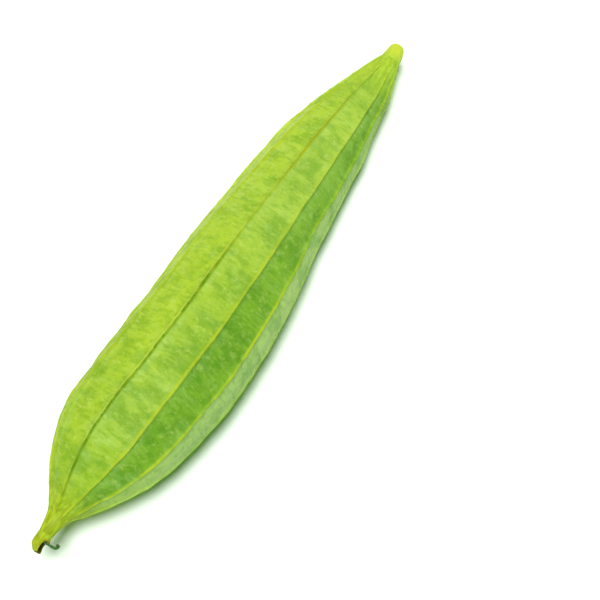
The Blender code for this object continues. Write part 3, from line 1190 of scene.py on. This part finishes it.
height = maths(tree, "ADD", cross_lines, times(tree, pale, 0.4))
height = maths(tree, "SUBTRACT", height, times(tree, pores, 0.4))
surface(tree, shader, colour, level(tree, deep, 0.5, 0.6), height, 0.3, 0.5 * MM)
fruit.data.materials.append(skin)
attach(fruit, "root")
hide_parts("gourd_fruit")
print("skin has", len(tree.nodes), "nodes")

# %% [markdown]
# ### The stub
#
# The stub is paler and yellower than the fruit, and most so at the cut, where the flesh shows. Its
# fibres run along it, so the fine lines are turned: long along and short across. Where along the
# stub each change begins and ends is noted in millimetres, as in the tables of the fruit.

# %% Material: cut stem
STUB_YELLOW = (0.610, 0.62, 0.040, 1)
CUT_YELLOW = (0.650, 0.63, 0.028, 1)
STUB_GREEN = (0.414, 0.52, 0.050, 1)
YELLOWING = (276.5, 281)
NEAR_CUT = (282, 285.5)

stem, tree, shader, position = new_material("cut_stem", specular=0.3)
lengthwise = add(tree, "SeparateXYZ", {0: position}).outputs[0]
stub_fibres = lines(tree, position, 7.0, 0.8)
deep, _ = mottle(tree, position, 4.0, 1.0, 0.6)
dry_specks = speckle(tree, position, 1.5, 0.25, 0.3)
yellowing, at_cut = (
    fade(tree, lengthwise, on_line(start).x, on_line(full).x) for start, full in (YELLOWING, NEAR_CUT)
)
colour = lay(tree, STEM_GREEN, STUB_YELLOW, yellowing)
colour = lay(tree, colour, STUB_GREEN, fade(tree, stub_fibres, 0.5, 0.66), 0.55)
colour = lay(tree, colour, STUB_GREEN, deep, 0.4)
colour = lay(tree, colour, CUT_YELLOW, at_cut, 0.7)
colour = lay(tree, colour, END_OLIVE, dry_specks, 0.45)
surface(tree, shader, colour, level(tree, deep, 0.55, 0.70), stub_fibres, 0.5, 0.5 * MM)
stub.data.materials.append(stem)
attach(stub, "root")
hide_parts("cut_stem")
print("stem has", len(tree.nodes), "nodes")

# %% [markdown]
# ### The cup
#
# Outside, the cup is still nearly the beak's yellow-green and dries to brown at its rim. Inside it is
# dark brown. The three numbers stored on its points tell the material where each spot is, and the
# torn short side has dried furthest.

# %% Material: dried husk
HUSK_GREEN = (0.360, 0.42, 0.012, 1)
HUSK_YELLOW = (0.610, 0.55, 0.012, 1)
HUSK_BROWN = (0.273, 0.17, 0.014, 1)
HUSK_DARK = (0.142, 0.095, 0.010, 1)

husk, tree, shader, position = new_material("dried_husk", specular=0.2)
inside, to_rim, torn_back = (
    add(tree, "Attribute", attribute_name=name).outputs["Fac"]
    for name in ("inside", "to_rim", "torn_back")
)
veins = lines(tree, position, 5.0, 0.7)
deep, pale = mottle(tree, position, 2.4, 0.9, 0.7)
outside = lay(tree, HUSK_GREEN, HUSK_YELLOW, pale, 0.85)
outside = lay(tree, outside, END_GREEN, fade(tree, to_rim, 0.35, 0.0))
outside = lay(tree, outside, END_OLIVE, deep, 0.45)
frayed = maths(tree, "MULTIPLY_ADD", veins, 0.5, to_rim)
frayed = maths(tree, "MULTIPLY_ADD", torn_back, 0.55, frayed)
outside = lay(tree, outside, HUSK_BROWN, fade(tree, frayed, 1.18, 1.4))
within = lay(tree, HUSK_DARK, HUSK_BROWN, fade(tree, veins, 0.55, 0.85))
colour = lay(tree, outside, within, inside)
darker = blend_colours(tree, 0.5, colour, HUSK_DARK)
colour = lay(tree, colour, darker, fade(tree, veins, 0.55, 0.75))
surface(tree, shader, colour, level(tree, deep, 0.70, 0.85), veins, 0.6, 0.5 * MM)
cup.data.materials.append(husk)
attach(cup, "root")
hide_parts("withered_calyx")
print("husk has", len(tree.nodes), "nodes")

# %% [markdown]
# ### The thread
#
# The style has dried to a dark blue-green, with a brown knob. How brown a spot is depends on how far
# it is from the knob, which a Vector Math node set to Distance measures. The knob is brown up to a
# millimetre away, and the wrinkles make the brown's edge uneven.

# %% Material: dried thread
THREAD_GREEN = (0.030, 0.095, 0.025, 1)
THREAD_PALE = (0.075, 0.17, 0.045, 1)
KNOB_BROWN = (0.15, 0.055, 0.008, 1)

dried, tree, shader, position = new_material("dried_thread", specular=0.12)
out, sideways, up, _ = THREAD[-1]
knob = tip + Vector((-out, -sideways, up)) * MM
from_knob = add(tree, "VectorMath", {0: position, 1: knob}, operation="DISTANCE").outputs["Value"]
thread_lines = lines(tree, position, 0.8, 0.8)
uneven = maths(tree, "MULTIPLY_ADD", thread_lines, MM, from_knob)
colour = lay(tree, THREAD_GREEN, THREAD_PALE, fade(tree, thread_lines, 0.4, 0.65))
colour = lay(tree, colour, KNOB_BROWN, fade(tree, uneven, 1.5 * MM, 1.0 * MM))
surface(tree, shader, colour, level(tree, thread_lines, 0.55, 0.85), thread_lines, 0.6, 0.3 * MM)
thread.data.materials.append(dried)
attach(thread, "root")
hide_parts("dried_style")
print("thread has", len(tree.nodes), "nodes")

# %% [markdown]
# ## The last look
#
# The finished model's box is measured now, with the card left out, and printed in millimetres.

# %% Size of the finished model
low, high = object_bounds()
print("visual box in mm:", [round(side / MM, 1) for side in high - low])
